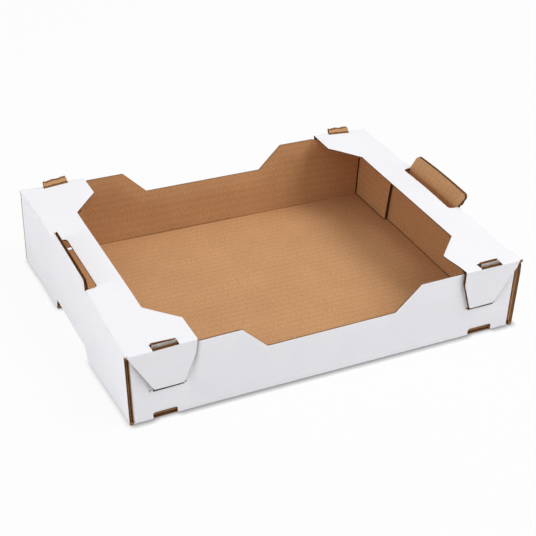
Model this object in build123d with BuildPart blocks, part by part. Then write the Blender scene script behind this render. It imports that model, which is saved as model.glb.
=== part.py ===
from build123d import *
import os
from math import atan2, cos, pi, sin, tan

os.makedirs("parts", exist_ok=True)

# A stacking tray folded from one die-cut sheet of corrugated board.
# The origin is at the middle of the underside, +X runs along the tray, +Z is up.

# Board and overall size, in millimetres
board = 4.0
tray_length = 402.0
tray_width = 308.0
ledge_height = 80.0
fold_radius = 2.0
overrun = 5.0

# Long walls: low middle between two shoulders, and the play behind a lock flap
dip_height = 51.0
dip_length = 133.0
dip_shoulder_run = 26.0
flap_slack = 1.0

# End ledges: deep at both ends, narrower along the middle
ledge_depth = 65.5
ledge_neck_depth = 38.0
ledge_end_width = 35.0
ledge_shoulder_run = 28.5

# Hand tabs, cut out of the ledges and standing up in the end walls' planes
hand_tab_length = 93.0
hand_tab_rise = 12.2
hand_tab_taper = 2.0
hand_corner_radius = 4.0
hand_cut_width = 0.6

# Stacking tabs on the long walls, their slots in the ledges and the notches below
stack_tab_setback = 35.0
stack_tab_width = 24.5
stack_tab_rise = 4.5
stack_tab_corner = 1.0
slot_play = 0.75
notch_height = 7.5
notch_corner = 3.0

# Hand notch through the fold under the -X end wall
end_notch_length = 97.0
end_notch_height = 11.0
end_notch_depth = 12.7
end_notch_slope = 13.0

# Corner flaps, glued to the insides of the end walls
corner_flap_reach = 69.5
corner_flap_taper = 3.0
corner_flap_drop = 1.0

# Lock flaps, hung from the ledges' ends, with their tips in slits in the long walls
slit_height = 33.6
slit_width = 0.6
slit_margin = 6.5
flap_tip_setback = 39.5
flap_tip_width = 29.0
flap_tip_corner = 2.0
flap_tip_gap = 0.5
flap_tip_proud = 2.0
flap_knee_drop = 16.0
flap_knee_inset = 1.0
flap_end_inset = 0.4
fold_gap = 0.2
press_gap = 0.15
press_margin = 0.6
press_tip_margin = 1.5

# Planes of the panels
end_outer_x = tray_length / 2
end_inner_x = end_outer_x - board
flap_outer_y = tray_width / 2
wall_outer_y = flap_outer_y - board - flap_slack
wall_inner_y = wall_outer_y - board
ledge_under_z = ledge_height - board
ledge_inner_x = end_outer_x - ledge_depth
neck_x = end_outer_x - ledge_neck_depth
ledge_tip_y = flap_outer_y - ledge_end_width
neck_y = ledge_tip_y - ledge_shoulder_run
stack_x = end_outer_x - stack_tab_setback
tip_x = end_outer_x - flap_tip_setback
tip_outer_x = tip_x + flap_tip_width / 2
tip_inner_x = tip_x - flap_tip_width / 2

# A lock flap leans in from the ledge's end to its slit
flap_drop = ledge_height - slit_height
lean = atan2(board + flap_slack - flap_tip_proud, flap_drop)
flap_length = (flap_drop - flap_tip_gap) / cos(lean)
flap_fold_outer_x = end_outer_x - flap_end_inset

# The long wall behind a flap is pressed in, parallel to the flap, down to the slit
press_drop = (board + flap_slack - press_gap - board / cos(lean)) / tan(lean)
press_top_z = ledge_height - press_drop
press_low_z = slit_height + slit_width
press_depth = (press_top_z - press_low_z) * tan(lean)
press_fall = press_drop / (flap_drop - flap_tip_gap)
press_outer_x = flap_fold_outer_x + (tip_outer_x - flap_fold_outer_x) * press_fall + press_margin
press_inner_x = ledge_inner_x - press_margin
press_tip_outer_x = tip_outer_x + press_tip_margin
press_tip_inner_x = tip_inner_x - press_tip_margin
slit_outer_x = tip_outer_x + slit_margin
slit_inner_x = tip_inner_x - slit_margin

# The fold between a ledge and its lock flap is mitred on the line that halves its angle
mitre = (pi / 2 - lean) / 2
mitre_reach = board / sin(mitre) + overrun


def mitre_section(side):
    """Section in (y, z) of all above (+1) or below (-1) the mitred fold and half of its gap."""
    start_y = flap_outer_y + side * sin(mitre) * fold_gap / 2
    start_z = ledge_height - side * cos(mitre) * fold_gap / 2
    end_y = start_y - mitre_reach * cos(mitre)
    end_z = start_z - mitre_reach * sin(mitre)
    far_z = end_z + side * mitre_reach
    outer_y = start_y + overrun
    return (start_y, start_z), (end_y, end_z), (end_y, far_z), (outer_y, far_z), (outer_y, start_z)


with BuildPart() as tray:
    # Bottom panel
    with BuildSketch():
        Rectangle(end_outer_x, wall_outer_y, align=(Align.MIN, Align.MIN))
    extrude(amount=board)

    # End wall
    with BuildSketch(Plane.XY.shift_origin((end_outer_x, 0))):
        Rectangle(board, wall_outer_y, align=(Align.MAX, Align.MIN))
    extrude(amount=ledge_height)

    # Ledge
    with BuildSketch(Plane.XY.offset(ledge_under_z)):
        with BuildLine():
            Polyline(
                (end_outer_x, 0),
                (end_outer_x, flap_outer_y),
                (ledge_inner_x, flap_outer_y),
                (ledge_inner_x, ledge_tip_y),
                (neck_x, neck_y),
                (neck_x, 0),
                close=True,
            )
        make_face()
    extrude(amount=board)
    with BuildSketch(Plane.YZ):
        with BuildLine():
            Polyline(*mitre_section(-1), close=True)
        make_face()
    extrude(amount=end_outer_x, mode=Mode.SUBTRACT)

    # Long wall
    with BuildSketch(Plane.XZ.offset(-wall_outer_y)):
        with BuildLine():
            Polyline(
                (0, 0),
                (end_inner_x, 0),
                (end_inner_x, ledge_under_z),
                (dip_length / 2 + dip_shoulder_run, ledge_under_z),
                (dip_length / 2, dip_height),
                (0, dip_height),
                close=True,
            )
        make_face()
    extrude(amount=board)

    # Rounded folds at the top and the bottom of the end wall and under the long wall
    with BuildSketch(Plane.XZ):
        with Locations((end_outer_x, ledge_height)):
            Rectangle(fold_radius, fold_radius, align=(Align.MAX, Align.MAX))
        with Locations((end_outer_x, 0)):
            Rectangle(fold_radius, fold_radius, align=(Align.MAX, Align.MIN))
        fold_x = end_outer_x - fold_radius
        with Locations((fold_x, ledge_height - fold_radius), (fold_x, fold_radius)):
            Circle(fold_radius, mode=Mode.SUBTRACT)
    extrude(amount=-flap_outer_y, mode=Mode.SUBTRACT)
    with BuildSketch(Plane.YZ):
        with Locations((wall_outer_y, 0)):
            Rectangle(fold_radius, fold_radius, align=(Align.MAX, Align.MIN))
        with Locations((wall_outer_y - fold_radius, fold_radius)):
            Circle(fold_radius, mode=Mode.SUBTRACT)
    extrude(amount=end_outer_x, mode=Mode.SUBTRACT)

    # Slot in the ledge for the stacking tab, open at the fold
    with BuildSketch(Plane.XY.offset(ledge_under_z)):
        with Locations((stack_x, wall_inner_y - slot_play)):
            Rectangle(stack_tab_width + 2 * slot_play, flap_outer_y, align=(Align.CENTER, Align.MIN))
    extrude(amount=board, mode=Mode.SUBTRACT)

    # Stacking tab
    with BuildSketch(Plane.XZ.offset(-wall_outer_y)):
        with Locations((stack_x, ledge_under_z)):
            Rectangle(stack_tab_width, board + stack_tab_rise, align=(Align.CENTER, Align.MIN))
        fillet(vertices().group_by(Axis.Y)[-1], stack_tab_corner)
    extrude(amount=board)

    # Notch for the stacking tab of a tray below, above the bottom panel's cut edge
    with BuildSketch(Plane.XZ.offset(-wall_outer_y)):
        with Locations((stack_x, board)):
            Rectangle(stack_tab_width, notch_height - board, align=(Align.CENTER, Align.MIN))
        fillet(vertices().group_by(Axis.Y)[-1], notch_corner)
    extrude(amount=board, mode=Mode.SUBTRACT)
    with BuildSketch(Plane.XY.shift_origin((stack_x, wall_outer_y))):
        Rectangle(stack_tab_width, fold_radius, align=(Align.CENTER, Align.MAX))
    extrude(amount=board, mode=Mode.SUBTRACT)

    # Opening that the pressed part of the long wall fills down to the slit
    with BuildSketch(Plane.XZ.offset(-wall_outer_y)):
        with BuildLine():
            Polyline(
                (press_inner_x, press_top_z),
                (press_outer_x, press_top_z),
                (slit_outer_x, press_low_z),
                (slit_outer_x, slit_height),
                (slit_inner_x, slit_height),
                (slit_inner_x, press_low_z),
                close=True,
            )
        make_face()
    extrude(amount=board, mode=Mode.SUBTRACT)

    # Pressed part: a leaning middle and a facet to each end of the slit
    top_inner = (press_inner_x, wall_outer_y, press_top_z)
    top_outer = (press_outer_x, wall_outer_y, press_top_z)
    low_outer = (press_tip_outer_x, wall_outer_y - press_depth, press_low_z)
    low_inner = (press_tip_inner_x, wall_outer_y - press_depth, press_low_z)
    slit_outer = (slit_outer_x, wall_outer_y, press_low_z)
    slit_inner = (slit_inner_x, wall_outer_y, press_low_z)
    for facet in (
        (top_inner, top_outer, low_outer, low_inner),
        (top_outer, slit_outer, low_outer),
        (top_inner, low_inner, slit_inner),
    ):
        extrude(Face(Wire.make_polygon(facet)), amount=board, dir=(0, -1, 0))

    # Corner flap on the inside of the end wall
    corner_flap_y = wall_inner_y - corner_flap_reach
    corner_flap_z = ledge_under_z - corner_flap_drop
    with BuildSketch(Plane.YZ.offset(end_inner_x - board)):
        with BuildLine():
            Polyline(
                (wall_inner_y, board),
                (corner_flap_y + corner_flap_taper, board),
                (corner_flap_y, corner_flap_z),
                (wall_inner_y, corner_flap_z),
                close=True,
            )
        make_face()
    extrude(amount=board)

    # Rounded fold between the long wall and its corner flap, beside the end wall's cut edge
    with BuildSketch(Plane.XY.offset(board)):
        with Locations((end_inner_x, wall_outer_y)):
            Rectangle(fold_radius, fold_radius, align=(Align.MAX, Align.MAX))
        with Locations((end_inner_x - fold_radius, wall_outer_y - fold_radius)):
            Circle(fold_radius, mode=Mode.SUBTRACT)
    extrude(amount=ledge_under_z - board, mode=Mode.SUBTRACT)

    # Hand tab
    hand_base_y = hand_tab_length / 2
    hand_top_z = ledge_height + hand_tab_rise
    with BuildSketch(Plane.YZ.offset(end_inner_x)):
        with BuildLine():
            Polyline(
                (0, ledge_under_z),
                (hand_base_y, ledge_under_z),
                (hand_base_y, ledge_height),
                (hand_base_y - hand_tab_taper, hand_top_z),
                (0, hand_top_z),
                close=True,
            )
        make_face()
        fillet(vertices().group_by(Axis.Y)[-1].sort_by(Axis.X)[-1], hand_corner_radius)
    extrude(amount=board)

    # Hand hole that the tab leaves in the ledge
    hole_y = hand_base_y + hand_cut_width
    hole_inner_x = end_outer_x - hand_tab_rise - hand_cut_width
    with BuildSketch(Plane.XY.offset(ledge_under_z)):
        with BuildLine():
            Polyline(
                (end_inner_x, 0),
                (end_inner_x, hole_y),
                (hole_inner_x, hole_y - hand_tab_taper),
                (hole_inner_x, 0),
                close=True,
            )
        make_face()
        fillet(vertices().group_by(Axis.X)[0].sort_by(Axis.Y)[-1], hand_corner_radius)
    extrude(amount=board, mode=Mode.SUBTRACT)

    # The other three quarters of the sheet
    mirror(about=Plane.YZ)
    mirror(about=Plane.XZ)

    # Hand notch at the -X end, through the fold between the end wall and the bottom panel
    end_notch_y = end_notch_length / 2
    with BuildSketch(Plane.YZ.offset(-end_outer_x)):
        with BuildLine():
            Polyline(
                (-end_notch_y, 0),
                (end_notch_y, 0),
                (end_notch_y, end_notch_height),
                (end_notch_slope - end_notch_y, end_notch_height),
                close=True,
            )
        make_face()
    extrude(amount=board, mode=Mode.SUBTRACT)
    with BuildSketch(Plane.XY.shift_origin((-end_outer_x, 0))):
        Rectangle(end_notch_depth, end_notch_length, align=(Align.MIN, Align.CENTER))
    extrude(amount=board, mode=Mode.SUBTRACT)
tray.part.label = "tray"
export_step(tray.part, "parts/tray.step")

# Lock flap at the +X, +Y corner, drawn downwards from its fold
flap_plane = Plane(
    origin=(0, flap_outer_y, ledge_height),
    x_dir=(1, 0, 0),
    z_dir=(0, cos(lean), -sin(lean)),
)
with BuildPart() as back_right_lock_flap:
    with BuildSketch(flap_plane):
        with BuildLine():
            Polyline(
                (flap_fold_outer_x, 0),
                (tip_outer_x, flap_length),
                (tip_inner_x, flap_length),
                (ledge_inner_x + flap_knee_inset, flap_knee_drop),
                (ledge_inner_x, 0),
                close=True,
            )
        make_face()
        fillet(vertices().group_by(Axis.Y)[-1], flap_tip_corner)
    extrude(amount=-board)
    with BuildSketch(Plane.YZ):
        with BuildLine():
            Polyline(*mitre_section(1), close=True)
        make_face()
    extrude(amount=end_outer_x, mode=Mode.SUBTRACT)
back_right_lock_flap.part.label = "back_right_lock_flap"
export_step(back_right_lock_flap.part, "parts/back_right_lock_flap.step")

with BuildPart() as back_left_lock_flap:
    mirror(back_right_lock_flap.part, about=Plane.YZ)
back_left_lock_flap.part.label = "back_left_lock_flap"
export_step(back_left_lock_flap.part, "parts/back_left_lock_flap.step")

with BuildPart() as front_right_lock_flap:
    mirror(back_right_lock_flap.part, about=Plane.XZ)
front_right_lock_flap.part.label = "front_right_lock_flap"
export_step(front_right_lock_flap.part, "parts/front_right_lock_flap.step")

with BuildPart() as front_left_lock_flap:
    mirror(back_left_lock_flap.part, about=Plane.XZ)
front_left_lock_flap.part.label = "front_left_lock_flap"
export_step(front_left_lock_flap.part, "parts/front_left_lock_flap.step")
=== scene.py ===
import math

import bmesh
import bpy
from mathutils import Matrix, Vector


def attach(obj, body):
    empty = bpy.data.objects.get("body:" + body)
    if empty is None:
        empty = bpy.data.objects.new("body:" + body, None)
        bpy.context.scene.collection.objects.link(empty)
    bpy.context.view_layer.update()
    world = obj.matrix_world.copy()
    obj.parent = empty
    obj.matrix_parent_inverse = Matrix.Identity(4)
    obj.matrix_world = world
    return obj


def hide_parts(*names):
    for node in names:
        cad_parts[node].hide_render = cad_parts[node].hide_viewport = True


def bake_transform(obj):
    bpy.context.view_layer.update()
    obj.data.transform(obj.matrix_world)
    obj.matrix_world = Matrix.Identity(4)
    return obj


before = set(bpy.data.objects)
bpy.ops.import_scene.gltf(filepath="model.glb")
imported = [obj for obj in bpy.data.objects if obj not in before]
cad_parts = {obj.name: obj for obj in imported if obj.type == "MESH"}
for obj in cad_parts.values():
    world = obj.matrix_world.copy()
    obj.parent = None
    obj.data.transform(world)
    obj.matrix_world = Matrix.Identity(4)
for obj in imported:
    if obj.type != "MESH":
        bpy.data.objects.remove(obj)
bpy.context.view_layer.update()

# Lengths are in millimetres unless a comment says otherwise
MM = 0.001

# Board: two liners and a fluted medium between them
BOARD = 4.0
LINER = 0.45
MEDIUM = 0.3
PITCH = 7.6

# Folds: the radius outside, how far from the inside corner the inner liner stops,
# the same at a torn fold, and how deep a crease runs
BEND = 2.0
CREASE = 0.6
TORN = 1.15
CREASE_DEEP = 0.3

# Medium: how far from a cut edge it is made, how far it stays back from a cut and from a rolled edge,
# how much of a rim's draw its crests take, and the least height of its waves
CORE_REACH = 7.0
CORE_BACK = 0.2
CORE_ROLLED = 1.8
CORE_CRUSHED = 0.12
CORE_LEAST = 0.02

# Fineness: steps in a wave, round a corner, in a fold and in half a hinge, the length of a bar's pieces,
# the least radius of a corner, its most share of an edge, the distance at which points are one,
# the angle of a sharp edge and the room for rounding at the edge of a zone
WAVE_STEPS = 8
ROUND_STEPS = 5
FOLD_STEPS = 8
HINGE_STEPS = 5
BAR_STEP = 12
LEAST_RADIUS = 0.08
CORNER_SHARE = 0.45
MERGE = 1e-4
SHARP_ANGLE = math.radians(35)
ROOM = 0.05

# Places shared by the panels, as in the frame
END_X = 201.0
SIDE_Y = 149.0
FLAP_Y = 154.0
TOP_Z = 80.0
UNDER_Z = TOP_Z - BOARD
INNER_X = END_X - BOARD
INNER_Y = SIDE_Y - BOARD
STACK_X = 166.0
TAB_HALF = 12.25

# Lock flaps: how they lean into the slits, the bend over their fold, and their outline
SLIT_Z = 33.6
LEAN_IN = 3.0
LEAN = math.atan2(LEAN_IN, TOP_Z - SLIT_Z)
HINGE_BEND = 1.6
HINGE_TURN = (math.pi / 2 + LEAN) / 2
HINGE_RUN = HINGE_BEND * math.tan(HINGE_TURN)
HINGE_INNER = BOARD * math.tan(HINGE_TURN)
HINGE_END_X = 200.0
FLAP_LOW_X = (147, 176)
FLAP_OUT_X = 200.6
FLAP_IN = (136.5, -16)
FLAP_SLOT = -1.0
FLAP_SHORT = 0.4
FLAP_ROWS = (-3, -4, -5.5, -8)

# Long walls: stacking tabs, notches at the foot, slits, and the low middle of the top edge
STACK_TOP_Z = 84.5
TAB_FOOT_Z = UNDER_Z + 1
# Below this height the back stacking tabs' inner faces take the dark flute colour, a painted shadow at their
# base
TAB_SHADE_Z = 81.5
NOTCH_Z = 7.5
SLIT_LOW_Z = SLIT_Z - 2.2
SLIT_X = (146.4, 177.0)
SLIT_LINER_X = (143.4, 177.0)
CRUSH_X = 136
DIP_X = 92.5
DIP_LOW_X = 66.5
DIP_Z = 51

# Place pressed in behind a lock flap: its top and bottom, and the x of its edges there,
# for the flat part and for the slopes beside it
PRESS_TOP = 66.98
PRESS_LOW = 34.2
PRESS_OUT, PRESS_OUT_END = (194.2, 177.5), (194.2, 182.5)
PRESS_IN, PRESS_IN_END = (134.9, 145.5), (134.9, 140.5)

# Where the long walls' meshes are divided
WALL_ROWS = (16, 25, PRESS_LOW, 42, 50, 58, PRESS_TOP, UNDER_Z, TAB_FOOT_Z, 79, TAB_SHADE_Z)
WALL_COLUMNS = range(-120, 121, 15)
RIM_COLUMNS = (128, 131, 134, 137)
TAB_COLUMNS = [STACK_X - 11 + 2 * k for k in range(12)]

# Corner flaps
CORNER_END_Y = 74.5
CORNER_TOP_Y = 72.0
CORNER_TOP_Z = 75
CORNER_LOW_Z = BOARD + 0.7
CORNER_ROWS = (20, 40, 60)

# Bottom panel, and the hand notch at the foot of the left end wall
BOTTOM_COLUMNS = (145, 160, 175, 190)
BOTTOM_ROWS = (-135, -115, -95, -75, -55)
FOOT_Y = 48.5
FOOT_Z = 11.0
FOOT_X = 12.7
FOOT_SLOPE = 13.0

# End walls and their hand tabs
HAND_Y = 46.5
HAND_TALL = 12.2
HAND_TAPER = 2
HAND_TOP_Z = TOP_Z + HAND_TALL
# Width of the strip along the left end's back edge whose outer face takes the cut-paper colour
BACK_EDGE_STRIP = 2.4
END_ROWS = (12, 24, 36, 48, 60, 70, TOP_Z)
END_COLUMNS = range(-140, 141, 14)

# Ledges, their hand holes and the slots for the stacking tabs
LEDGE_X = 135.5
LEDGE_MID_X = 163
LEDGE_MID_Y = 90.5
LEDGE_STEP_Y = 119
LEDGE_COLUMNS = (150, 158, 166, 173, 180, 187, 194)
LEDGE_FOLD_Y = FLAP_Y - 0.8
HAND_CUT_Y = 47.1
HAND_IN_X = 188.2
SLOT_HALF = 13.0
SLOT_Y = 144.25
BACK_SLOT_Y = 149.8
FRONT_SLOTS = {-1: (152.3, 176.6), 1: (153.4, 179.8)}

WHITE, KRAFT, RAW, FLUTE, SHADED_SCUFF = range(5)

# How far a cut draws the outer liner down and raises the inner one, by the kind of edge:
# f fold, g torn fold, h hinge, o open, c cut, t tab, w rolled over, x crushed
DRAWN = {"o": 0.1, "c": 0.45, "t": 0.2, "w": 0.9, "x": 0.25}
RAISED = {"o": 0.05, "c": 0.1, "t": 0.6, "w": 0.3, "x": 2.3}

# How that fades inwards, as distances from the edge and shares
STEPS = ((0.0, 1.0), (0.35, 0.72), (0.9, 0.36), (1.6, 0.1), (2.3, 0.0))
SHORT = ((0.0, 1.0), (1.1, 0.55), (2.3, 0.0))
LONG = ((0.0, 1.0), (1.4, 0.72), (2.9, 0.3), (4.5, 0.0))
SLOPE = ((0.0, 1.0), (2.0, 0.9), (5.0, 0.68), (9.0, 0.36), (13.0, 0.12), (17.0, 0.0))

# How the used sheet has settled. Each zone is where an effect starts and the run over which it grows to full.
# Front left corner, by -x and -y: in at the foot and out at the top, to the front and down
LEFT_ZONE = ((110, 85), (50, 95))
LEFT_IN, LEFT_TURN, LEFT_FRONT, LEFT_SINK = 3.2, 4.0, 1.4, 1.2
# Front right corner, by x, -y and z: out, but less at the top
RIGHT_ZONE = ((140, 55), (40, 105), (66, 14))
RIGHT_OUT, RIGHT_TOP_IN = 3.6, 3.2
# Front wall below the inner edge of the right ledge, by x, -x, -y and z: to the right
BELOW_ZONE = ((100, 35), (-169, 22), (117, 33), (12, 22))
BELOW_RIGHT = 4.0
# Back left corner, by -x and y: out, to the front at the foot and to the back at the top
BACK_LEFT_ZONE = ((179, 20), (90, 58))
BACK_LEFT_OUT, BACK_LEFT_TURN, BACK_LEFT_FRONT = 2.1, 4.4, 0.8
# Foot of the right end, by x and y, and of the back wall, by y, x and x: in, up to FOOT_TOP_Z
FOOT_TOP_Z = 78
RIGHT_FOOT_ZONE = ((120, 70), (-145, 60))
RIGHT_FOOT_IN = 4.4
BACK_FOOT_ZONE = ((80, 60), (-60, 220), (-200, 40))
BACK_FOOT_IN, BACK_FOOT_TURN = 2.2, 2.4
# Top of the back wall, by -|x|, y and z: up
BACK_TOP_ZONE = ((-190, 48), (70, 55), (8, 38))
BACK_TOP_UP = 2.7

# How the long walls bow, by -|x| for the inner and the outer liner, and how their stacking tabs bend
BOW_BACK, BOW_FRONT, BOW_FRONT_TURN = 4.6, 2.6, 0.012
BOW_INNER_ZONE = (-190, 75)
BOW_OUTER_ZONE = (-138.5, 7)
TAB_ROOT_Z = UNDER_Z - 3
SHOVE_RUN = 3
SHOVE, SHOVE_TURN = 1.6, 0.07
PRESSED_TAB = 4.9
TAB_LEAN_RUN = 7
TAB_LEAN, TAB_TOP_LEAN = 5.6, 0.45
RAGGED_WAVES = ((0.4, 0.55, 0), (0.35, 1.7, 1))
RAGGED_TURN, RAGGED_DROP = 0.02, 0.3

# How the right end is raised, by |y| and x and straight up z, how its front corner opens, by -y and x,
# and how the two hand tabs lean, reach and sink
END_UP = 3.4
END_UP_ZONE = ((0, 118), (160, 28))
END_UP_Z, END_UP_RUN = 8, 72
OPEN_OUT = 1.9
OPEN_ZONE = ((112, 37), (186, 11))
LONGER = 5.0
LONGER_ZONE = ((4, 42), (TOP_Z, 3))
RIGHT_HAND_OUT = 6.2
LEFT_HAND_OUT = 0.5
HAND_SINK, HAND_SINK_RUN = 1.2, 45


def smooth(value, start, run):
    """0 up to the start, 1 past the run and a smooth step between."""
    t = min(max((value - start) / run, 0.0), 1.0)
    return t * t * (3 - 2 * t)


def within(values, zone):
    """How far a point is inside a zone: the smooth steps of its values, multiplied."""
    share = 1.0
    for value, (start, run) in zip(values, zone):
        share *= smooth(value, start, run)
    return share


def settled(p):
    """Where a point of the folded sheet has settled: its corners are a little out of square,
    and its walls lean."""
    x, y, z = p
    left = within((-x, -y), LEFT_ZONE)
    right = within((x, -y), RIGHT_ZONE)
    back_left = within((-x, y), BACK_LEFT_ZONE)
    low = max(0.0, 1 - z / FOOT_TOP_Z)
    across = left * (LEFT_IN - LEFT_TURN * z / TOP_Z)
    across += right * (RIGHT_OUT - RIGHT_TOP_IN * smooth(z, *RIGHT_ZONE[2]))
    across += BELOW_RIGHT * within((x, -x, -y, z), BELOW_ZONE)
    across -= BACK_LEFT_OUT * back_left
    across -= RIGHT_FOOT_IN * low * within((x, y), RIGHT_FOOT_ZONE)
    along = back_left * (BACK_LEFT_TURN * z / TOP_Z - BACK_LEFT_FRONT) - LEFT_FRONT * left
    turn = BACK_FOOT_IN + BACK_FOOT_TURN * smooth(x, *BACK_FOOT_ZONE[1])
    along -= low * turn * smooth(y, *BACK_FOOT_ZONE[0]) * smooth(x, *BACK_FOOT_ZONE[2])
    lift = BACK_TOP_UP * within((-abs(x), y, z), BACK_TOP_ZONE)
    return Vector((x + across, y + along, z + lift - LEFT_SINK * left * z / TOP_Z))


def straight(p):
    """A panel that keeps its place."""
    return p


def pull(table, a, b):
    """How far the liner is drawn at the corner of two edges: not at all at the end of a fold."""
    return 0.0 if a in "fgh" or b in "fgh" else max(table[a], table[b])


def shifted(points, moves):
    """Outline with each edge moved to its left by its own distance."""
    n = len(points)
    lines = []
    for i in range(n):
        a = Vector(points[i])
        b = Vector(points[(i + 1) % n])
        d = (b - a).normalized()
        lines.append((a + Vector((-d.y, d.x)) * moves[i], d))
    out = []
    for i in range(n):
        p, d = lines[i - 1]
        q, e = lines[i]
        cross = d.x * e.y - d.y * e.x
        if abs(cross) < 1e-6:
            out.append(q.copy())
        else:
            r = q - p
            out.append(p + d * ((r.x * e.y - r.y * e.x) / cross))
    return out


def ring(loop, inset, step, table):
    """Points of a loop's outline, moved in by its folds' insets and by step along its cuts,
    and each point's draw."""
    n = len(loop)
    moves = [inset.get(k, step) for (u, v, r, k) in loop]
    pts = shifted([(u, v) for (u, v, r, k) in loop], moves)
    out = []
    for i in range(n):
        r = loop[i][2]
        draw = pull(table, loop[i - 1][3], loop[i][3])
        p = pts[i]
        if r <= 0:
            out.append((p.x, p.y, draw))
            continue
        a = pts[i - 1] - p
        b = pts[(i + 1) % n] - p
        la, lb = a.length, b.length
        a.normalize()
        b.normalize()
        turn = a.x * b.y - a.y * b.x
        move = (moves[i - 1] + moves[i]) / 2
        rr = max(r - move, LEAST_RADIUS) if turn < 0 else r + move
        half = a.angle(b) / 2
        reach = min(rr / math.tan(half), CORNER_SHARE * min(la, lb))
        rr = reach * math.tan(half)
        centre = p + (a + b).normalized() * (rr / math.sin(half))
        s = p + a * reach - centre
        e = p + b * reach - centre
        sweep = s.angle_signed(e)
        for k in range(ROUND_STEPS + 1):
            t = -sweep * k / ROUND_STEPS
            c, sn = math.cos(t), math.sin(t)
            out.append((centre.x + s.x * c - s.y * sn, centre.y + s.x * sn + s.y * c, draw))
    return out


def sheet(loops, inset, half, faces, steps, table, cuts):
    """A flat closed sheet in a new bmesh, with the amount that each point is drawn. Cuts divide its mesh."""
    bm = bmesh.new()
    drawn = bm.verts.layers.float.new("drawn")
    rims = []
    for side, z in ((0, half), (1, -half)):
        inner = []
        for loop in loops:
            bands = []
            for step, share in steps:
                row = []
                for u, v, draw in ring(loop, inset, step, table):
                    p = bm.verts.new((u, v, z))
                    p[drawn] = draw * share
                    row.append(p)
                bands.append(row)
            n = len(bands[0])
            for a, b in zip(bands, bands[1:]):
                for i in range(n):
                    f = bm.faces.new((a[i], a[(i + 1) % n], b[(i + 1) % n], b[i]))
                    f.material_index = faces[side]
            rims.append(bands[0])
            last = bands[-1]
            ends = [(last[i], last[(i + 1) % n]) for i in range(n)]
            inner += [bm.edges.get(pair) or bm.edges.new(pair) for pair in ends]
        filled = bmesh.ops.triangle_fill(bm, use_beauty=True, use_dissolve=False, edges=inner)
        for f in filled["geom"]:
            if isinstance(f, bmesh.types.BMFace):
                f.material_index = faces[side]
    count = len(loops)
    for a, b in zip(rims[:count], rims[count:]):
        n = len(a)
        for i in range(n):
            f = bm.faces.new((a[i], a[(i + 1) % n], b[(i + 1) % n], b[i]))
            f.material_index = RAW
    bmesh.ops.remove_doubles(bm, verts=bm.verts[:], dist=MERGE)
    for point, normal in cuts:
        bmesh.ops.bisect_plane(bm, geom=bm.verts[:] + bm.edges[:] + bm.faces[:], dist=MERGE,
                               plane_co=(*point, 0), plane_no=(*normal, 0))
    return bm, drawn


def columns(places):
    """Cuts that divide a panel at these places along u."""
    return [((u, 0), (1, 0)) for u in places]


def rows(places):
    """Cuts that divide a panel at these places along v."""
    return [((0, v), (0, 1)) for v in places]


def cut_edges(loops):
    """The edges of a panel that aren't folds, each as its start, its run and the run's length squared."""
    out = []
    for loop in loops:
        for (u, v, r, kind), (s, t, *rest) in zip(loop, loop[1:] + loop[:1]):
            if kind not in "fgh":
                out.append((u, v, s - u, t - v, max((s - u) ** 2 + (t - v) ** 2, 1e-9)))
    return out


def is_near(p, edges, reach):
    """Whether a point of a panel is within reach of one of these edges."""
    for u, v, du, dv, square in edges:
        t = min(max(((p.x - u) * du + (p.y - v) * dv) / square, 0.0), 1.0)
        if math.hypot(p.x - u - t * du, p.y - v - t * dv) < reach:
            return True
    return False


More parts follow.
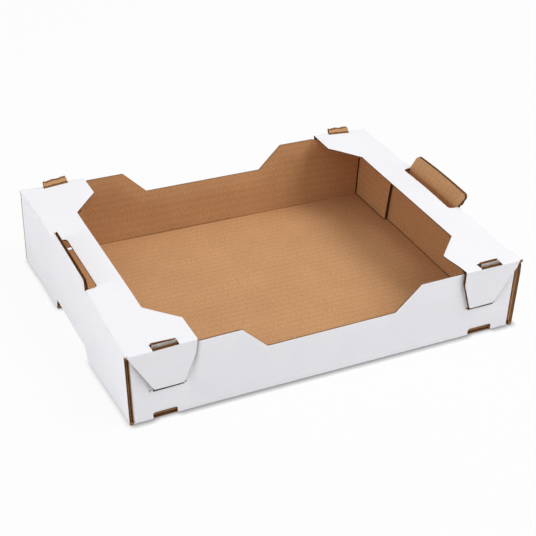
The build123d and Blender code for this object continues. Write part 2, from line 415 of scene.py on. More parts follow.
class Board:
    """Gathers the layers of several panels into one mesh."""

    def __init__(self):
        self.points = []
        self.faces = []
        self.slots = []
        self.uvs = []
        self.bend = straight

    def take(self, bm, place, flutes, shift):
        """Puts a flat layer in its place, bent as its panel is, and frees it."""
        bmesh.ops.recalc_face_normals(bm, faces=bm.faces[:])
        bm.verts.index_update()
        base = len(self.points)
        flat = [v.co.copy() for v in bm.verts]
        self.points += [self.bend(place(v.co)) for v in bm.verts]
        flip = mirrored(place)
        for f in bm.faces:
            ids = [v.index for v in f.verts]
            if flip:
                ids.reverse()
            self.faces.append([base + i for i in ids])
            self.slots.append(f.material_index)
            for i in ids:
                u, v, w = flat[i]
                along, across = (u, v) if flutes == "u" else (v, u)
                self.uvs.append(((along + shift) * MM, (across + w) * MM))
        bm.free()

    def panel(self, loops, place, flutes, shift, cuts, marks=None, ramp=SHORT, inside=None):
        """Outer liner, medium and inner liner of one panel. The inner face is at w 0, the outer one at BOARD.
        The medium is made only near the cut edges, where it is seen. Flutes run along u or v, and shift
        moves the paper's grain, so that no two panels look alike."""
        outer = {"f": BEND, "g": BEND, "h": HINGE_RUN}
        inner = {"f": BOARD + CREASE, "g": BOARD + TORN, "h": HINGE_INNER}
        bm, drawn = sheet(loops, outer, LINER / 2, (WHITE, RAW), STEPS, DRAWN, cuts)
        for v in bm.verts:
            v.co.z += BOARD - LINER / 2 - v[drawn]
        if marks:
            for f in bm.faces:
                if f.material_index == WHITE:
                    f.material_index = marks(f.calc_center_median(), WHITE)
        self.take(bm, place, flutes, shift)
        bm, drawn = sheet(inside or loops, inner, LINER / 2, (RAW, KRAFT), ramp, RAISED, cuts)
        if marks:
            for f in bm.faces:
                if f.material_index == KRAFT:
                    f.material_index = marks(f.calc_center_median(), KRAFT)
        for v in bm.verts:
            v.co.z += LINER / 2 + v[drawn]
        self.take(bm, place, flutes, shift)
        us = [p[0] for p in loops[0]]
        vs = [p[1] for p in loops[0]]
        low, high = (min(vs), max(vs)) if flutes == "u" else (min(us), max(us))
        step = PITCH / WAVE_STEPS
        places = [k * step for k in range(math.ceil(low / step), math.floor(high / step) + 1)]
        waves = rows(places) if flutes == "u" else columns(places)
        core = ((CORE_BACK, 1.0),) + ramp[1:]
        inner["w"] = CORE_ROLLED
        bm, drawn = sheet(loops, inner, MEDIUM / 2, (FLUTE, FLUTE), core, RAISED, cuts + waves)
        edges = cut_edges(loops)
        seen = {v for v in bm.verts if is_near(v.co, edges, CORE_REACH)}
        hidden = [f for f in bm.faces if not any(v in seen for v in f.verts)]
        bmesh.ops.delete(bm, geom=hidden, context="FACES")
        for f in bm.faces:
            f.material_index = FLUTE
        for v in bm.verts:
            across = v.co.y if flutes == "u" else v.co.x
            lowest = LINER + MEDIUM / 2 + v[drawn]
            highest = max(BOARD - LINER - MEDIUM / 2 - CORE_CRUSHED * v[drawn], lowest + CORE_LEAST)
            wave = 0.5 + 0.5 * math.sin(2 * math.pi * across / PITCH)
            v.co.z += lowest + (highest - lowest) * wave
        self.take(bm, place, flutes, shift)

    def bar(self, section, slots, start, axis, length, e1, e2):
        """A closed bar with a flat section, drawn in e1 and e2, along axis."""
        n = len(section)
        base = len(self.points)
        count = max(1, round(length / BAR_STEP))
        for k in range(count + 1):
            for p, q in section:
                self.points.append(self.bend(start + e1 * p + e2 * q + axis * (length * k / count)))
        flip = e1.cross(e2).dot(axis) < 0
        area = sum(p * t - s * q for (p, q), (s, t) in zip(section, section[1:] + section[:1]))
        if area < 0:
            flip = not flip
        quads = []
        for k in range(count):
            near, far = length * k / count, length * (k + 1) / count
            run = 0.0
            for i in range(n):
                j = (i + 1) % n
                step = math.dist(section[i], section[j])
                ids = (k * n + i, k * n + j, k * n + n + j, k * n + n + i)
                end = run + step
                quads.append((ids, slots[i], ((near, run), (near, end), (far, end), (far, run))))
                run = end
        last = count * n
        ends = [(tuple(reversed(range(n))), RAW, [section[i] for i in reversed(range(n))]),
                (tuple(range(last, last + n)), RAW, section)]
        for ids, slot, uv in quads + ends:
            ids = list(ids)
            uv = list(uv)
            if flip:
                ids.reverse()
                uv.reverse()
            self.faces.append([base + i for i in ids])
            self.slots.append(slot)
            self.uvs += [(a * MM, b * MM) for a, b in uv]

    def fold(self, corner, axis, length, e1, e2, lined=True):
        """A right-angled fold: the outer liner bends round, over a crushed core. e1 and e2 run into the
        two panels. Where it is lined, the inner liner runs on through the crease."""
        turns = [math.pi / 2 * k / FOLD_STEPS for k in range(FOLD_STEPS + 1)]
        outer = [(BEND - BEND * math.sin(t), BEND - BEND * math.cos(t)) for t in turns]
        thin = BEND - LINER
        under = [(BEND - thin * math.sin(t), BEND - thin * math.cos(t)) for t in turns]
        slots = [WHITE] * FOLD_STEPS + [RAW] * (FOLD_STEPS + 2)
        self.bar(outer + under[::-1], slots, corner, axis, length, e1, e2)
        core = under + [(LINER, BOARD), (BOARD - CREASE, BOARD - CREASE), (BOARD, LINER)]
        self.bar(core, [FLUTE] * len(core), corner, axis, length, e1, e2)
        if lined:
            far, deep = BOARD + CREASE, BOARD - CREASE_DEEP
            crease = [(BOARD, far), (deep, deep), (far, BOARD),
                      (far, BOARD - LINER), (deep - LINER, deep - LINER), (BOARD - LINER, far)]
            self.bar(crease, [KRAFT] * 2 + [RAW] * 4, corner, axis, length, e1, e2)

    def object(self, name, materials):
        """The gathered layers as one settled object, in metres."""
        mesh = bpy.data.meshes.new(name)
        mesh.from_pydata([settled(p) * MM for p in self.points], [], self.faces)
        for m in materials:
            mesh.materials.append(m)
        mesh.polygons.foreach_set("material_index", self.slots)
        layer = mesh.uv_layers.new(name="board")
        layer.data.foreach_set("uv", [c for uv in self.uvs for c in uv])
        mesh.shade_smooth()
        mesh.set_sharp_from_angle(angle=SHARP_ANGLE)
        mesh.update()
        obj = bpy.data.objects.new(name, mesh)
        bpy.context.scene.collection.objects.link(obj)
        return obj


def mirrored(place):
    """Whether placing a panel turns it inside out."""
    o = Vector(place(Vector((0, 0, 0))))
    x = Vector(place(Vector((1, 0, 0)))) - o
    y = Vector(place(Vector((0, 1, 0)))) - o
    z = Vector(place(Vector((0, 0, 1)))) - o
    return x.cross(y).dot(z) < 0


# Panels, each in its own flat coordinates. The points of an outline are u, v, the radius of the corner
# and the kind of the edge that starts there.

X, Y, Z = Vector((1, 0, 0)), Vector((0, 1, 0)), Vector((0, 0, 1))


def part_way(ends, t):
    """The place that is the share t of the way from the first end to the second."""
    return ends[0] + (ends[1] - ends[0]) * t


def pressed(x, z):
    """How far the long wall is pressed in behind a lock flap, down to the slit."""
    x = abs(x)
    if z > PRESS_TOP or z < PRESS_LOW - ROOM:
        return 0.0
    t = (PRESS_TOP - z) / (PRESS_TOP - PRESS_LOW)
    deep = (PRESS_TOP - z) * math.tan(LEAN)
    near_a, near_b = part_way(PRESS_OUT, t), part_way(PRESS_IN, t)
    far_a, far_b = part_way(PRESS_OUT_END, t), part_way(PRESS_IN_END, t)
    if near_b <= x <= near_a:
        return deep
    if near_a < x < far_a:
        return deep * (far_a - x) / (far_a - near_a)
    if far_b < x < near_b:
        return deep * (x - far_b) / (near_b - far_b)
    return 0.0


def wall_bend(p):
    """The long walls bow out between the ledges. The front stacking tabs are pressed down,
    and the back ones lean out."""
    x, y, z = p
    t = 1 - min(max((z - BOARD) / (UNDER_Z - BOARD), 0.0), 1.0)
    bow = BOW_BACK if y > 0 else BOW_FRONT - BOW_FRONT_TURN * x
    layer = min(max((abs(y) - INNER_Y) / BOARD, 0.0), 1.0)
    inner = smooth(-abs(x), *BOW_INNER_ZONE)
    outer = smooth(-abs(x), *BOW_OUTER_ZONE)
    out = bow * (1 - t * t) * (inner + (outer - inner) * layer)
    if abs(abs(x) - STACK_X) < TAB_HALF + ROOM and z > TAB_ROOT_Z:
        up = max(0.0, (z - TAB_FOOT_Z) / (STACK_TOP_Z - TAB_FOOT_Z))
        beside = x - math.copysign(STACK_X, x)
        if y < 0:
            x += smooth(z, TAB_ROOT_Z, SHOVE_RUN) * (SHOVE - SHOVE_TURN * beside)
            z = TAB_FOOT_Z + PRESSED_TAB * up if up > 0 else z
        else:
            ragged = sum(size * math.sin(rate * x + phase) for size, rate, phase in RAGGED_WAVES)
            ragged += RAGGED_TURN * beside
            out = TAB_LEAN * smooth(z, TAB_ROOT_Z, TAB_LEAN_RUN) + TAB_TOP_LEAN * max(0.0, z - TOP_Z)
            z += up * (ragged - RAGGED_DROP)
    return Vector((x, y + math.copysign(out, y), z))


def end_bend(p):
    """The right end is raised at its middle, open at its front corner, and its hand tab leans out.
    The left hand tab sinks to the front."""
    x, y, z = p
    tab = max(0.0, (z - TOP_Z) / HAND_TALL)
    if x > 0:
        lift = END_UP * (1 - smooth(abs(y), *END_UP_ZONE[0])) * smooth(x, *END_UP_ZONE[1])
        lift *= max(0.0, (z - END_UP_Z) / END_UP_RUN)
        open_corner = (OPEN_OUT + z / TOP_Z) * within((-y, x), OPEN_ZONE)
        longer = LONGER * within((-y, z), LONGER_ZONE)
        return Vector((x + RIGHT_HAND_OUT * tab + open_corner, y - longer, z + lift + tab))
    return Vector((x - LEFT_HAND_OUT * tab, y, z - tab * (HAND_SINK - y / HAND_SINK_RUN)))


def wall_outline(skip_right):
    """Outline of a long wall and its slits; skip_right leaves out the right notch and slit."""
    loop = [(-INNER_X, 0, 0, "f")]
    holes = []
    for s in (-1, 1):
        if s > 0 and skip_right:
            continue
        c = s * STACK_X
        loop += [(c - TAB_HALF, 0, 0, "c"), (c - TAB_HALF, NOTCH_Z, 4, "c"),
                 (c + TAB_HALF, NOTCH_Z, 2, "c"), (c + TAB_HALF, 0, 0, "f")]
        a, b = sorted(s * x for x in (SLIT_LINER_X if skip_right else SLIT_X))
        holes.append([(a, SLIT_LOW_Z, 0.5, "o"), (a, PRESS_LOW, 0, "o"),
                      (b, PRESS_LOW, 0, "o"), (b, SLIT_LOW_Z, 0.5, "o")])
    loop += [(INNER_X, 0, 0, "g"), (INNER_X, UNDER_Z, 0, "o")]
    for s in (1, -1):
        c = s * STACK_X
        tab = [(c + TAB_HALF, UNDER_Z, 0, "o"), (c + TAB_HALF, STACK_TOP_Z, 1, "o"),
               (c - TAB_HALF, STACK_TOP_Z, 1, "o"), (c - TAB_HALF, UNDER_Z, 0, "o")]
        if s > 0:
            loop += tab + [(CRUSH_X, UNDER_Z, 0, "x"), (DIP_X, UNDER_Z, 1, "x"), (DIP_LOW_X, DIP_Z, 3, "x")]
        else:
            loop += [(-DIP_LOW_X, DIP_Z, 3, "x"), (-DIP_X, UNDER_Z, 1, "x"), (-CRUSH_X, UNDER_Z, 0, "o")]
            loop += tab
    loop += [(-INNER_X, UNDER_Z, 0, "g")]
    return [loop] + holes


def long_wall(board, sy):
    """The front or the back wall with its folds and its two corner flaps."""
    board.bend = wall_bend
    cuts = rows(WALL_ROWS) + columns(WALL_COLUMNS)
    for s in (-1, 1):
        cuts += columns(s * x for x in RIM_COLUMNS)
        cuts += columns(s * x for x in TAB_COLUMNS)
        for top, low in (PRESS_OUT, PRESS_OUT_END, PRESS_IN, PRESS_IN_END):
            d = Vector((s * (low - top), PRESS_LOW - PRESS_TOP)).normalized()
            cuts.append(((s * top, PRESS_TOP), (-d.y, d.x)))

    def place(p):
        share = p.z / BOARD if sy > 0 and p.x > 0 else 1.0
        return Vector((p.x, sy * (INNER_Y + p.z - share * pressed(p.x, p.y)), p.y))

    def tab_marks(c, slot):
        if c.y < TAB_FOOT_Z:
            return slot
        if slot == WHITE:
            # The grey scuffed liner here is partly painted shade in the slot
            return SHADED_SCUFF
        if sy < 0:
            return RAW
        # Back tabs: kraft at the top, flute colour lower down as a painted shadow at their base
        return KRAFT if c.y > TAB_SHADE_Z else FLUTE

    board.panel(wall_outline(False), place, "u", shift=300 * sy, cuts=cuts, ramp=SLOPE if sy > 0 else LONG,
                marks=tab_marks, inside=wall_outline(sy > 0))
    notch = STACK_X + TAB_HALF
    for a, b in ((-INNER_X, -notch), (TAB_HALF - STACK_X, STACK_X - TAB_HALF), (notch, INNER_X)):
        board.fold(Vector((a, sy * SIDE_Y, 0)), X, b - a, Y * -sy, Z)
    flap = [(CORNER_TOP_Y, CORNER_TOP_Z, 1, "o"), (CORNER_END_Y, CORNER_LOW_Z, 0, "o"),
            (SIDE_Y, CORNER_LOW_Z, 0, "g"), (SIDE_Y, CORNER_TOP_Z, 0, "o")]
    for sx in (-1, 1):
        corner = Vector((sx * INNER_X, sy * SIDE_Y, BEND))
        board.fold(corner, Z, UNDER_Z - BEND, X * -sx, Y * -sy, lined=False)

        def place_flap(p, sx=sx):
            return Vector((sx * (INNER_X - BOARD + p.z), sy * p.x, p.y))

        board.panel([flap], place_flap, "u", shift=500 + 90 * sx * sy, cuts=rows(CORNER_ROWS))


def bottom(board):
    """The bottom panel. Its inner liner stops at the ends of the corner flaps."""
    board.bend = straight
    loop = [(-END_X, SIDE_Y, 0, "f"), (-END_X, FOOT_Y, 0, "c"), (FOOT_X - END_X, FOOT_Y, 2, "c"),
            (FOOT_X - END_X, -FOOT_Y, 2, "c"), (-END_X, -FOOT_Y, 0, "f"), (-END_X, -SIDE_Y, 0, "f")]
    for c in (-STACK_X, STACK_X):
        loop += [(c - TAB_HALF, -SIDE_Y, 0, "o"), (c - TAB_HALF, BEND - SIDE_Y, 0, "o"),
                 (c + TAB_HALF, BEND - SIDE_Y, 0, "o"), (c + TAB_HALF, -SIDE_Y, 0, "f")]
    loop += [(END_X, -SIDE_Y, 0, "f"), (END_X, SIDE_Y, 0, "f")]
    for c in (STACK_X, -STACK_X):
        loop += [(c + TAB_HALF, SIDE_Y, 0, "o"), (c + TAB_HALF, SIDE_Y - BEND, 0, "o"),
                 (c - TAB_HALF, SIDE_Y - BEND, 0, "o"), (c - TAB_HALF, SIDE_Y, 0, "f")]
    scored = []
    for u, v, r, kind in loop:
        if abs(u) == END_X and abs(v) == SIDE_Y:
            inner = math.copysign(INNER_X, u)
            step = math.copysign(CORNER_END_Y, v)
            if u * v < 0:
                scored += [(inner, v, r, "f"), (inner, step, 0, "o"), (u, step, 0, "f")]
            else:
                scored += [(u, step, 0, "o"), (inner, step, 0, "f"), (inner, v, r, "f")]
        else:
            scored.append((u, v, r, kind))

    def place(p):
        return Vector((p.x, p.y, BOARD - p.z))

    cuts = columns(s * x for s in (-1, 1) for x in BOTTOM_COLUMNS) + rows(BOTTOM_ROWS)
    board.panel([loop], place, "u", shift=1000, cuts=cuts, inside=[scored])


def end_wall(board, sx):
    """The left or the right end wall with its hand tab and its folds.
    Only the left one has a notch at its foot."""
    board.bend = end_bend
    loop = [(-SIDE_Y, 0, 0, "f")]
    if sx < 0:
        loop += [(-FOOT_Y, 0, 0, "c"), (FOOT_SLOPE - FOOT_Y, FOOT_Z, 2, "c"),
                 (FOOT_Y, FOOT_Z, 1, "c"), (FOOT_Y, 0, 0, "f")]
    loop += [(SIDE_Y, 0, 0, "o"), (SIDE_Y, TOP_Z, 0, "f"), (HAND_Y, TOP_Z, 0, "t"),
             (HAND_Y - HAND_TAPER, HAND_TOP_Z, 4, "t"), (HAND_TAPER - HAND_Y, HAND_TOP_Z, 4, "t"),
             (-HAND_Y, TOP_Z, 0, "f"), (-SIDE_Y, TOP_Z, 0, "o")]

    def place(p):
        return Vector((sx * (INNER_X + p.z), p.x, p.y))

    def marks(c, slot):
        # On the left end's outer face, a strip along the back edge takes the cut-paper colour
        return RAW if slot == WHITE and sx < 0 and c.x > SIDE_Y - BACK_EDGE_STRIP else slot

    board.panel([loop], place, "v", shift=1500 + 300 * sx, cuts=rows(END_ROWS) + columns(END_COLUMNS),
                ramp=LONG, marks=marks)
    spans = ((-SIDE_Y, -FOOT_Y), (FOOT_Y, SIDE_Y)) if sx < 0 else ((-SIDE_Y, SIDE_Y),)
    for a, b in spans:
        board.fold(Vector((sx * END_X, a, 0)), Y, b - a, X * -sx, Z, lined=sx < 0)
    for a, b in ((-LEDGE_FOLD_Y, -HAND_CUT_Y), (HAND_CUT_Y, LEDGE_FOLD_Y)):
        board.fold(Vector((sx * END_X, a, TOP_Z)), Y, b - a, X * -sx, -Z)


def slot_ends(sx, sy):
    """The near and far end of a ledge's slot. The front ones are torn, the left one further in."""
    return (STACK_X - SLOT_HALF, STACK_X + SLOT_HALF) if sy > 0 else FRONT_SLOTS[sx]


def ledge(board, sx):
    """The left or the right ledge with its half of the bends over the lock flaps' folds."""
    board.bend = end_bend
    a, b = slot_ends(sx, 1)
    c, d = slot_ends(sx, -1)
    hand = HAND_CUT_Y - HAND_TAPER
    loop = [(LEDGE_X, -FLAP_Y, 0, "h"), (c, -FLAP_Y, 0, "c"), (c, -SLOT_Y, 0.6, "c"), (d, -SLOT_Y, 0.6, "c"),
            (d, -FLAP_Y, 0, "h"), (END_X, -FLAP_Y, 0, "f"), (END_X, -HAND_CUT_Y, 0, "x"),
            (HAND_IN_X, -hand, 4, "x"), (HAND_IN_X, hand, 4, "x"), (END_X, HAND_CUT_Y, 0, "f"),
            (END_X, FLAP_Y, 0, "h"), (b, FLAP_Y, 0, "c"), (b, BACK_SLOT_Y, 0.6, "c"),
            (a, BACK_SLOT_Y, 0.6, "c"), (a, FLAP_Y, 0, "h"), (LEDGE_X, FLAP_Y, 0, "x"),
            (LEDGE_X, INNER_Y, 0, "x"), (LEDGE_X, LEDGE_STEP_Y, 1.5, "x"),
            (LEDGE_MID_X, LEDGE_MID_Y, 1.5, "x"), (LEDGE_MID_X, -LEDGE_MID_Y, 1.5, "x"),
            (LEDGE_X, -LEDGE_STEP_Y, 1.5, "x"), (LEDGE_X, -INNER_Y, 0, "x")]

    def place(p):
        return Vector((sx * p.x, p.y, UNDER_Z + p.z))

    cuts = columns(LEDGE_COLUMNS) + rows(END_COLUMNS)
    board.panel([loop], place, "u", shift=2000 + 400 * sx, cuts=cuts, ramp=LONG)
    for sy in (-1, 1):
        a, b = slot_ends(sx, sy)
        for lo, hi in ((LEDGE_X, a), (b, END_X - BEND)):
            hinge_half(board, sx, sy, lo, hi, True)


def hinge_half(board, sx, sy, lo, hi, on_ledge):
    """Half of the bend over a lock flap's fold, on the ledge's side or the flap's."""
    centre = Vector((0, sy * (FLAP_Y - HINGE_RUN), TOP_Z - HINGE_BEND))
    first = 0 if on_ledge else HINGE_TURN
    angles = [HINGE_TURN * k / HINGE_STEPS + first for k in range(HINGE_STEPS + 1)]
    outer = [(HINGE_BEND * math.sin(t), HINGE_BEND * math.cos(t)) for t in angles]
    thin = HINGE_BEND - LINER
    under = [(thin * math.sin(t), thin * math.cos(t)) for t in angles]
    start = centre + X * (lo if sx > 0 else -hi)
    slots = [WHITE] * HINGE_STEPS + [RAW] * (HINGE_STEPS + 2)
    board.bar(outer + under[::-1], slots, start, X, hi - lo, Y * sy, Z)


def lock_flap(body, sx, sy, materials):
    """A lock flap. Along its fold it stays with the ledge, and bends over within a few millimetres."""
    board = Board()
    low = -(TOP_Z - SLIT_Z - FLAP_SHORT) / math.cos(LEAN)
    a, b = slot_ends(sx, sy)
    loop = [(FLAP_LOW_X[0], low, 2, "c"), (FLAP_LOW_X[1], low, 2, "w"), (FLAP_OUT_X, 0, 0, "h"),
            (b, 0, 0, "o"), (b, FLAP_SLOT, 0, "o"), (a, FLAP_SLOT, 0, "o"), (a, 0, 0, "h"),
            (LEDGE_X, 0, 0, "o"), (*FLAP_IN, 3, "o")]

    def place(p):
        inward = BOARD - p.z
        return Vector((sx * p.x, sy * (FLAP_Y + p.y * math.sin(LEAN) - inward * math.cos(LEAN)),
                       TOP_Z + p.y * math.cos(LEAN) + inward * math.sin(LEAN)))

    board.panel([loop], place, "u", shift=3000 + 170 * sx + 330 * sy, cuts=rows(FLAP_ROWS))
    for lo, hi in ((LEDGE_X, a), (b, HINGE_END_X)):
        hinge_half(board, sx, sy, lo, hi, False)
    flap = board.object(body + "_board", materials)
    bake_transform(flap)
    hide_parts(body)


# Materials

# Noises of the paper: stretch of the sheet, scale, detail and roughness
CLOUD = ((1, 1, 1), 22, 4, 0.6)
FIBRES = ((400, 1800, 1), 1, 3, 0.65)
FLECKS = ((760, 1250, 1), 1, 1, 0.5)
DIRT = ((90, 300, 1), 1, 5, 0.7)
GRAIN = ((700, 2600, 1), 1, 3, 0.6)
PATCHES = ((60, 60, 1), 1, 2, 0.5)

# Bumps of the paper: strength, and distance in metres
RIDGE_BUMP = (0.35, 0.00012)
FIBRE_BUMP = (0.25, 0.00008)
GRAIN_BUMP = (0.5, 0.0002)
RAW_GLOSS = 0.15


class Nodes:
    """Short calls for building one material's nodes."""

    def __init__(self, name):
        self.mat = bpy.data.materials.new(name)
        self.mat.use_nodes = True
        self.tree = self.mat.node_tree
        self.bsdf = self.tree.nodes["Principled BSDF"]
        self.uv = self.tree.nodes.new("ShaderNodeUVMap").outputs["UV"]
        self.tree.nodes[-1].uv_map = "board"

    def put(self, socket, value):
        if isinstance(value, bpy.types.NodeSocket):
            self.tree.links.new(value, socket)
        else:
            socket.default_value = value

    def math(self, kind, a, b=0.0, c=0.0):
        n = self.tree.nodes.new("ShaderNodeMath")
        n.operation = kind
        for s, v in zip(n.inputs, (a, b, c)):
            self.put(s, v)
        return n.outputs[0]

    def noise(self, stretch, scale, detail, rough):
        sheet_map = self.tree.nodes.new("ShaderNodeMapping")
        self.put(sheet_map.inputs["Vector"], self.uv)
        sheet_map.inputs["Scale"].default_value = stretch
        n = self.tree.nodes.new("ShaderNodeTexNoise")
        self.put(n.inputs["Vector"], sheet_map.outputs["Vector"])
        n.inputs["Scale"].default_value = scale
        n.inputs["Detail"].default_value = detail
        n.inputs["Roughness"].default_value = rough
        return n.outputs["Fac"]

    def spread(self, value, lo, hi, to_lo=0.0, to_hi=1.0):
        n = self.tree.nodes.new("ShaderNodeMapRange")
        for s, v in zip(n.inputs, (value, lo, hi, to_lo, to_hi)):
            self.put(s, v)
        return n.outputs[0]

    def mix(self, fac, a, b):
        n = self.tree.nodes.new("ShaderNodeMix")
        n.data_type = "RGBA"
        self.put(n.inputs["Factor"], fac)
        for s, v in ((n.inputs[6], a), (n.inputs[7], b)):
            self.put(s, (*v, 1.0) if isinstance(v, tuple) and len(v) == 3 else v)
        return n.outputs[2]

    def ridges(self):
        """Washboard of the flutes under a liner: 0 in the hollows, 1 on the crests."""
        n = self.tree.nodes.new("ShaderNodeSeparateXYZ")
        self.put(n.inputs[0], self.uv)
        wave = self.math("SINE", self.math("MULTIPLY", n.outputs[1], 2 * math.pi / (PITCH * MM)))
        return self.math("MULTIPLY_ADD", wave, 0.5, 0.5)

    def bump(self, height, strength, distance, after=None):
        n = self.tree.nodes.new("ShaderNodeBump")
        n.inputs["Strength"].default_value = strength
        n.inputs["Distance"].default_value = distance
        self.put(n.inputs["Height"], height)
        if after is not None:
            self.put(n.inputs["Normal"], after)
        return n.outputs["Normal"]


def liner(name, base, deep, light, mottle, washboard, fibre, rough, gloss, dirt=None):
    """Paper liner: clouded tone, fibres along the sheet, flecks and the washboard of the flutes below."""
    m = Nodes(name)
    cloud = m.noise(*CLOUD)
    fibres = m.noise(*FIBRES)
    flecks = m.noise(*FLECKS)
    ridges = m.ridges()
    tone = m.mix(m.spread(cloud, 0.3, 0.7, 0.0, mottle), base, deep)
    tone = m.mix(m.spread(fibres, 0.37, 0.7, 0.0, fibre), tone, deep)
    tone = m.mix(m.spread(flecks, 0.66, 0.8, 0.0, fibre), tone, light)
    tone = m.mix(m.math("MULTIPLY", ridges, washboard), tone, deep)
    if dirt:
        marks = m.noise(*DIRT)
        tone = m.mix(m.spread(marks, 0.42, 0.62, 0.0, 1.0), tone, dirt)
    m.put(m.bsdf.inputs["Base Color"], tone)
    m.put(m.bsdf.inputs["Roughness"], m.spread(fibres, 0.3, 0.7, rough - 0.06, rough + 0.08))
    m.bsdf.inputs["Specular IOR Level"].default_value = gloss
    first = m.bump(ridges, *RIDGE_BUMP)
    m.put(m.bsdf.inputs["Normal"], m.bump(fibres, *FIBRE_BUMP, first))
    return m.mat


def raw(name, base, deep, light):
    """Cut paper: soft fibres, dark between them."""
    m = Nodes(name)
    grain = m.noise(*GRAIN)
    cloud = m.noise(*PATCHES)
    tone = m.mix(m.spread(grain, 0.35, 0.65), deep, base)
    tone = m.mix(m.spread(cloud, 0.5, 0.75, 0.0, 0.5), tone, light)
    m.put(m.bsdf.inputs["Base Color"], tone)
    m.put(m.bsdf.inputs["Roughness"], m.spread(grain, 0.3, 0.7, 0.8, 0.95))
    m.bsdf.inputs["Specular IOR Level"].default_value = RAW_GLOSS
    m.put(m.bsdf.inputs["Normal"], m.bump(grain, *GRAIN_BUMP))
    return m.mat


white = liner("white_liner", (0.875, 0.871, 0.893), (0.77, 0.765, 0.79), (0.93, 0.93, 0.94),
              mottle=0.35, washboard=0.10, fibre=0.55, rough=0.62, gloss=0.14)
kraft = liner("kraft_liner", (0.70, 0.388, 0.187), (0.37, 0.184, 0.075), (0.88, 0.58, 0.35),
              mottle=0.26, washboard=0.16, fibre=0.9, rough=0.72, gloss=0.2)
# Stacking tabs' outer faces: the grey is partly real scuffs and dirt, partly painted shade where the tabs
# stand in the ledges' slots
scuffed_shaded = liner("scuffed_shaded_liner", (0.72, 0.72, 0.72), (0.55, 0.55, 0.55), (0.8, 0.8, 0.8),
                mottle=0.4, washboard=0.2, fibre=0.4, rough=0.6, gloss=0.2, dirt=(0.38, 0.36, 0.34))
cut = raw("cut_paper", (0.32, 0.165, 0.07), (0.2, 0.1, 0.042), (0.45, 0.26, 0.13))
flute = raw("fluted_medium", (0.27, 0.135, 0.056), (0.17, 0.083, 0.034), (0.34, 0.18, 0.08))
materials = [white, kraft, cut, flute, scuffed_shaded]

tray = Board()
bottom(tray)
for side in (-1, 1):
    long_wall(tray, side)
    end_wall(tray, side)
    ledge(tray, side)
sheet_tray = tray.object("tray_sheet", materials)
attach(sheet_tray, "tray")
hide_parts("tray")
for body, flap_x, flap_y in (("front_left_lock_flap", -1, -1), ("front_right_lock_flap", 1, -1),
                             ("back_left_lock_flap", -1, 1), ("back_right_lock_flap", 1, 1)):
    lock_flap(body, flap_x, flap_y, materials)

# Floor, light and camera, in metres and degrees

FLOOR_HALF = 8
FLOOR_DROP = 0.0002
FLOOR_COLOUR = (0.84, 0.84, 0.845, 1)
FLOOR_ROUGH = 0.9
GLOW_COLOUR = (0.987, 0.987, 0.987, 1)
GLOW_SHARE = 0.92
# Contact shadow: how near, its samples, the side it looks to, and the open share that becomes its strength
CONTACT_REACH = 0.0065
CONTACT_SAMPLES = 16
CONTACT_SIDE = (-0.55, 0.3, 0.78)
CONTACT_RANGE = (0.4, 1.0, 0.3, 1.0)
# Sky: its colour, its strength from level to straight up, and the even sky that is seen
SKY_COLOUR = (0.98, 0.985, 1.0, 1)
SKY_RANGE = (0.0, 1.0, 0.10, 0.98)
SEEN_COLOUR = (0.98, 0.98, 0.98, 1)
# Camera: focal length and width in pixels, the film's width in millimetres, and where it looks from
FOCAL_PX = 1255.56
IMAGE_PX = 536
FILM_WIDTH = 36.0
CLIP_START = 0.05
AIM = (-0.00294, -0.01987, 0.0408)
DISTANCE = 1.25103
AZIMUTH, ELEVATION, ROLL = -26.85, 32.27, 2.49


def fill(sockets, values):
    """Gives each of these sockets its value."""
    for socket, value in zip(sockets, values):
        socket.default_value = value


scene = bpy.context.scene
scene.view_settings.view_transform = "Standard"

floor_mesh = bpy.data.meshes.new("floor")
floor_mesh.from_pydata([(x * FLOOR_HALF, y * FLOOR_HALF, 0) for x, y in ((-1, -1), (1, -1), (1, 1), (-1, 1))],
                       [], [(0, 1, 2, 3)])
floor = bpy.data.objects.new("floor", floor_mesh)
scene.collection.objects.link(floor)
floor.location.z = -FLOOR_DROP
paint = bpy.data.materials.new("floor_paint")
paint.use_nodes = True
nodes, links = paint.node_tree.nodes, paint.node_tree.links
matte = nodes["Principled BSDF"]
matte.inputs["Base Color"].default_value = FLOOR_COLOUR
matte.inputs["Roughness"].default_value = FLOOR_ROUGH
matte.inputs["Specular IOR Level"].default_value = 0.0
glow = nodes.new("ShaderNodeEmission")
glow.inputs["Color"].default_value = GLOW_COLOUR
near = nodes.new("ShaderNodeAmbientOcclusion")
near.samples = CONTACT_SAMPLES
near.inputs["Distance"].default_value = CONTACT_REACH
tilt = nodes.new("ShaderNodeCombineXYZ")
fill(tilt.inputs, CONTACT_SIDE)
links.new(tilt.outputs[0], near.inputs["Normal"])
contact = nodes.new("ShaderNodeMapRange")
fill(contact.inputs[1:5], CONTACT_RANGE)
links.new(near.outputs["AO"], contact.inputs[0])
links.new(contact.outputs[0], glow.inputs["Strength"])
path = nodes.new("ShaderNodeLightPath")
part = nodes.new("ShaderNodeMath")
part.operation = "MULTIPLY"
part.inputs[1].default_value = GLOW_SHARE
links.new(path.outputs["Is Camera Ray"], part.inputs[0])
blend = nodes.new("ShaderNodeMixShader")
links.new(part.outputs[0], blend.inputs[0])
links.new(matte.outputs[0], blend.inputs[1])
links.new(glow.outputs[0], blend.inputs[2])
links.new(blend.outputs[0], nodes["Material Output"].inputs["Surface"])
floor_mesh.materials.append(paint)

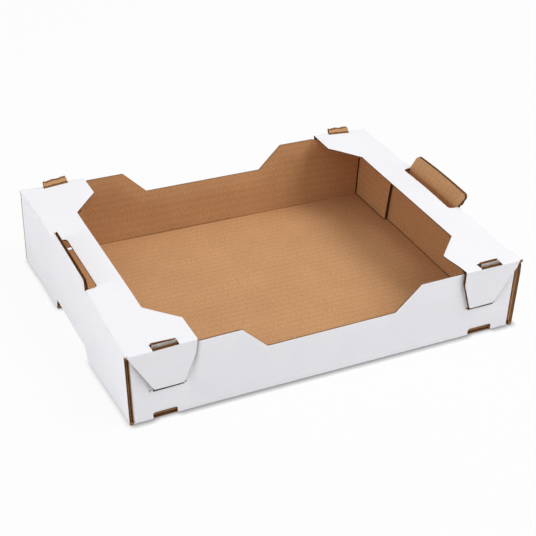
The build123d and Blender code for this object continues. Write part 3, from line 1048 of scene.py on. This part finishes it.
world = bpy.data.worlds.new("studio")
scene.world = world
world.use_nodes = True
nodes, links = world.node_tree.nodes, world.node_tree.links
back = nodes["Background"]
back.inputs["Color"].default_value = SKY_COLOUR
ray = nodes.new("ShaderNodeTexCoord")
split = nodes.new("ShaderNodeSeparateXYZ")
links.new(ray.outputs["Generated"], split.inputs[0])
dome = nodes.new("ShaderNodeMapRange")
fill(dome.inputs[1:5], SKY_RANGE)
links.new(split.outputs[2], dome.inputs[0])
links.new(dome.outputs[0], back.inputs["Strength"])
seen = nodes.new("ShaderNodeBackground")
seen.inputs["Color"].default_value = SEEN_COLOUR
path = nodes.new("ShaderNodeLightPath")
either = nodes.new("ShaderNodeMath")
either.operation = "MAXIMUM"
links.new(path.outputs["Is Camera Ray"], either.inputs[0])
links.new(path.outputs["Is Glossy Ray"], either.inputs[1])
blend = nodes.new("ShaderNodeMixShader")
links.new(either.outputs[0], blend.inputs[0])
links.new(back.outputs[0], blend.inputs[1])
links.new(seen.outputs[0], blend.inputs[2])
links.new(blend.outputs[0], nodes["World Output"].inputs["Surface"])


def softbox(name, at, towards, size, energy):
    """A round lamp at one place, turned towards another."""
    light = bpy.data.lights.new(name, "AREA")
    light.shape = "DISK"
    light.size = size
    light.energy = energy
    obj = bpy.data.objects.new(name, light)
    obj.location = at
    obj.rotation_euler = (Vector(towards) - Vector(at)).to_track_quat("-Z", "Y").to_euler()
    scene.collection.objects.link(obj)


softbox("top_softbox", at=(1.9, -0.9, 3.1), towards=(0.0, 0, 0), size=2.0, energy=62.0)
softbox("left_softbox", at=(-1.8, -0.4, 0.42), towards=(0, 0, 0.05), size=1.0, energy=10.7)
softbox("front_softbox", at=(1.1, -1.0, 0.42), towards=(0.1, 0, 0.05), size=0.9, energy=1.9)

azimuth, elevation, roll = (math.radians(d) for d in (AZIMUTH, ELEVATION, ROLL))
away = Vector((math.sin(azimuth) * math.cos(elevation), -math.cos(azimuth) * math.cos(elevation),
               math.sin(elevation)))
level = Vector((math.cos(azimuth), math.sin(azimuth), 0))
rise = away.cross(level)
right = level * math.cos(roll) + rise * math.sin(roll)
up = rise * math.cos(roll) - level * math.sin(roll)
lens = bpy.data.cameras.new("camera")
lens.sensor_width = FILM_WIDTH
lens.lens = FOCAL_PX * lens.sensor_width / IMAGE_PX
lens.clip_start = CLIP_START
camera = bpy.data.objects.new("camera", lens)
scene.collection.objects.link(camera)
turn = Matrix((right, up, away)).transposed()
camera.matrix_world = Matrix.Translation(Vector(AIM) + away * DISTANCE) @ turn.to_4x4()
scene.camera = camera
